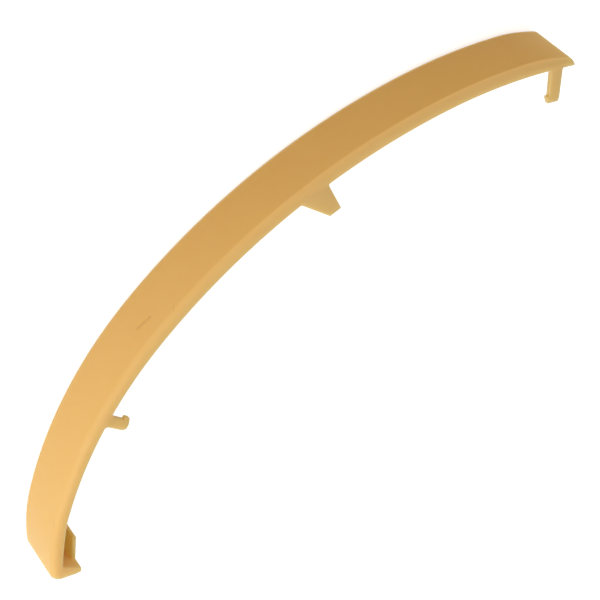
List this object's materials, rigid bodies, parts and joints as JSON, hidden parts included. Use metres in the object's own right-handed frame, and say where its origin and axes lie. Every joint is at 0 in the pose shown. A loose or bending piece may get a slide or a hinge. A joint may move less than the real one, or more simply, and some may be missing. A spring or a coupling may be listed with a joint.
{
  "type": "timing chain guide",
  "caption": "Curved nylon timing chain guide lining with a smooth convex running face, an end lip with a return tongue, and paired side tabs that clip it onto a rail arm.",
  "frame": {"origin": "centre of the bounding box's base, on the flat side face that the lining lies on", "axes": "+X along the chord towards the lip end, -Y towards the convex running side, +Z along the strip's width"},
  "size_m": [0.2156, 0.048, 0.022],
  "materials": {
    "natural_nylon": "satin, as moulded in natural nylon"
  },
  "bodies": {
    "root": {"guide_rail": "natural_nylon"}
  },
  "joints": []
}
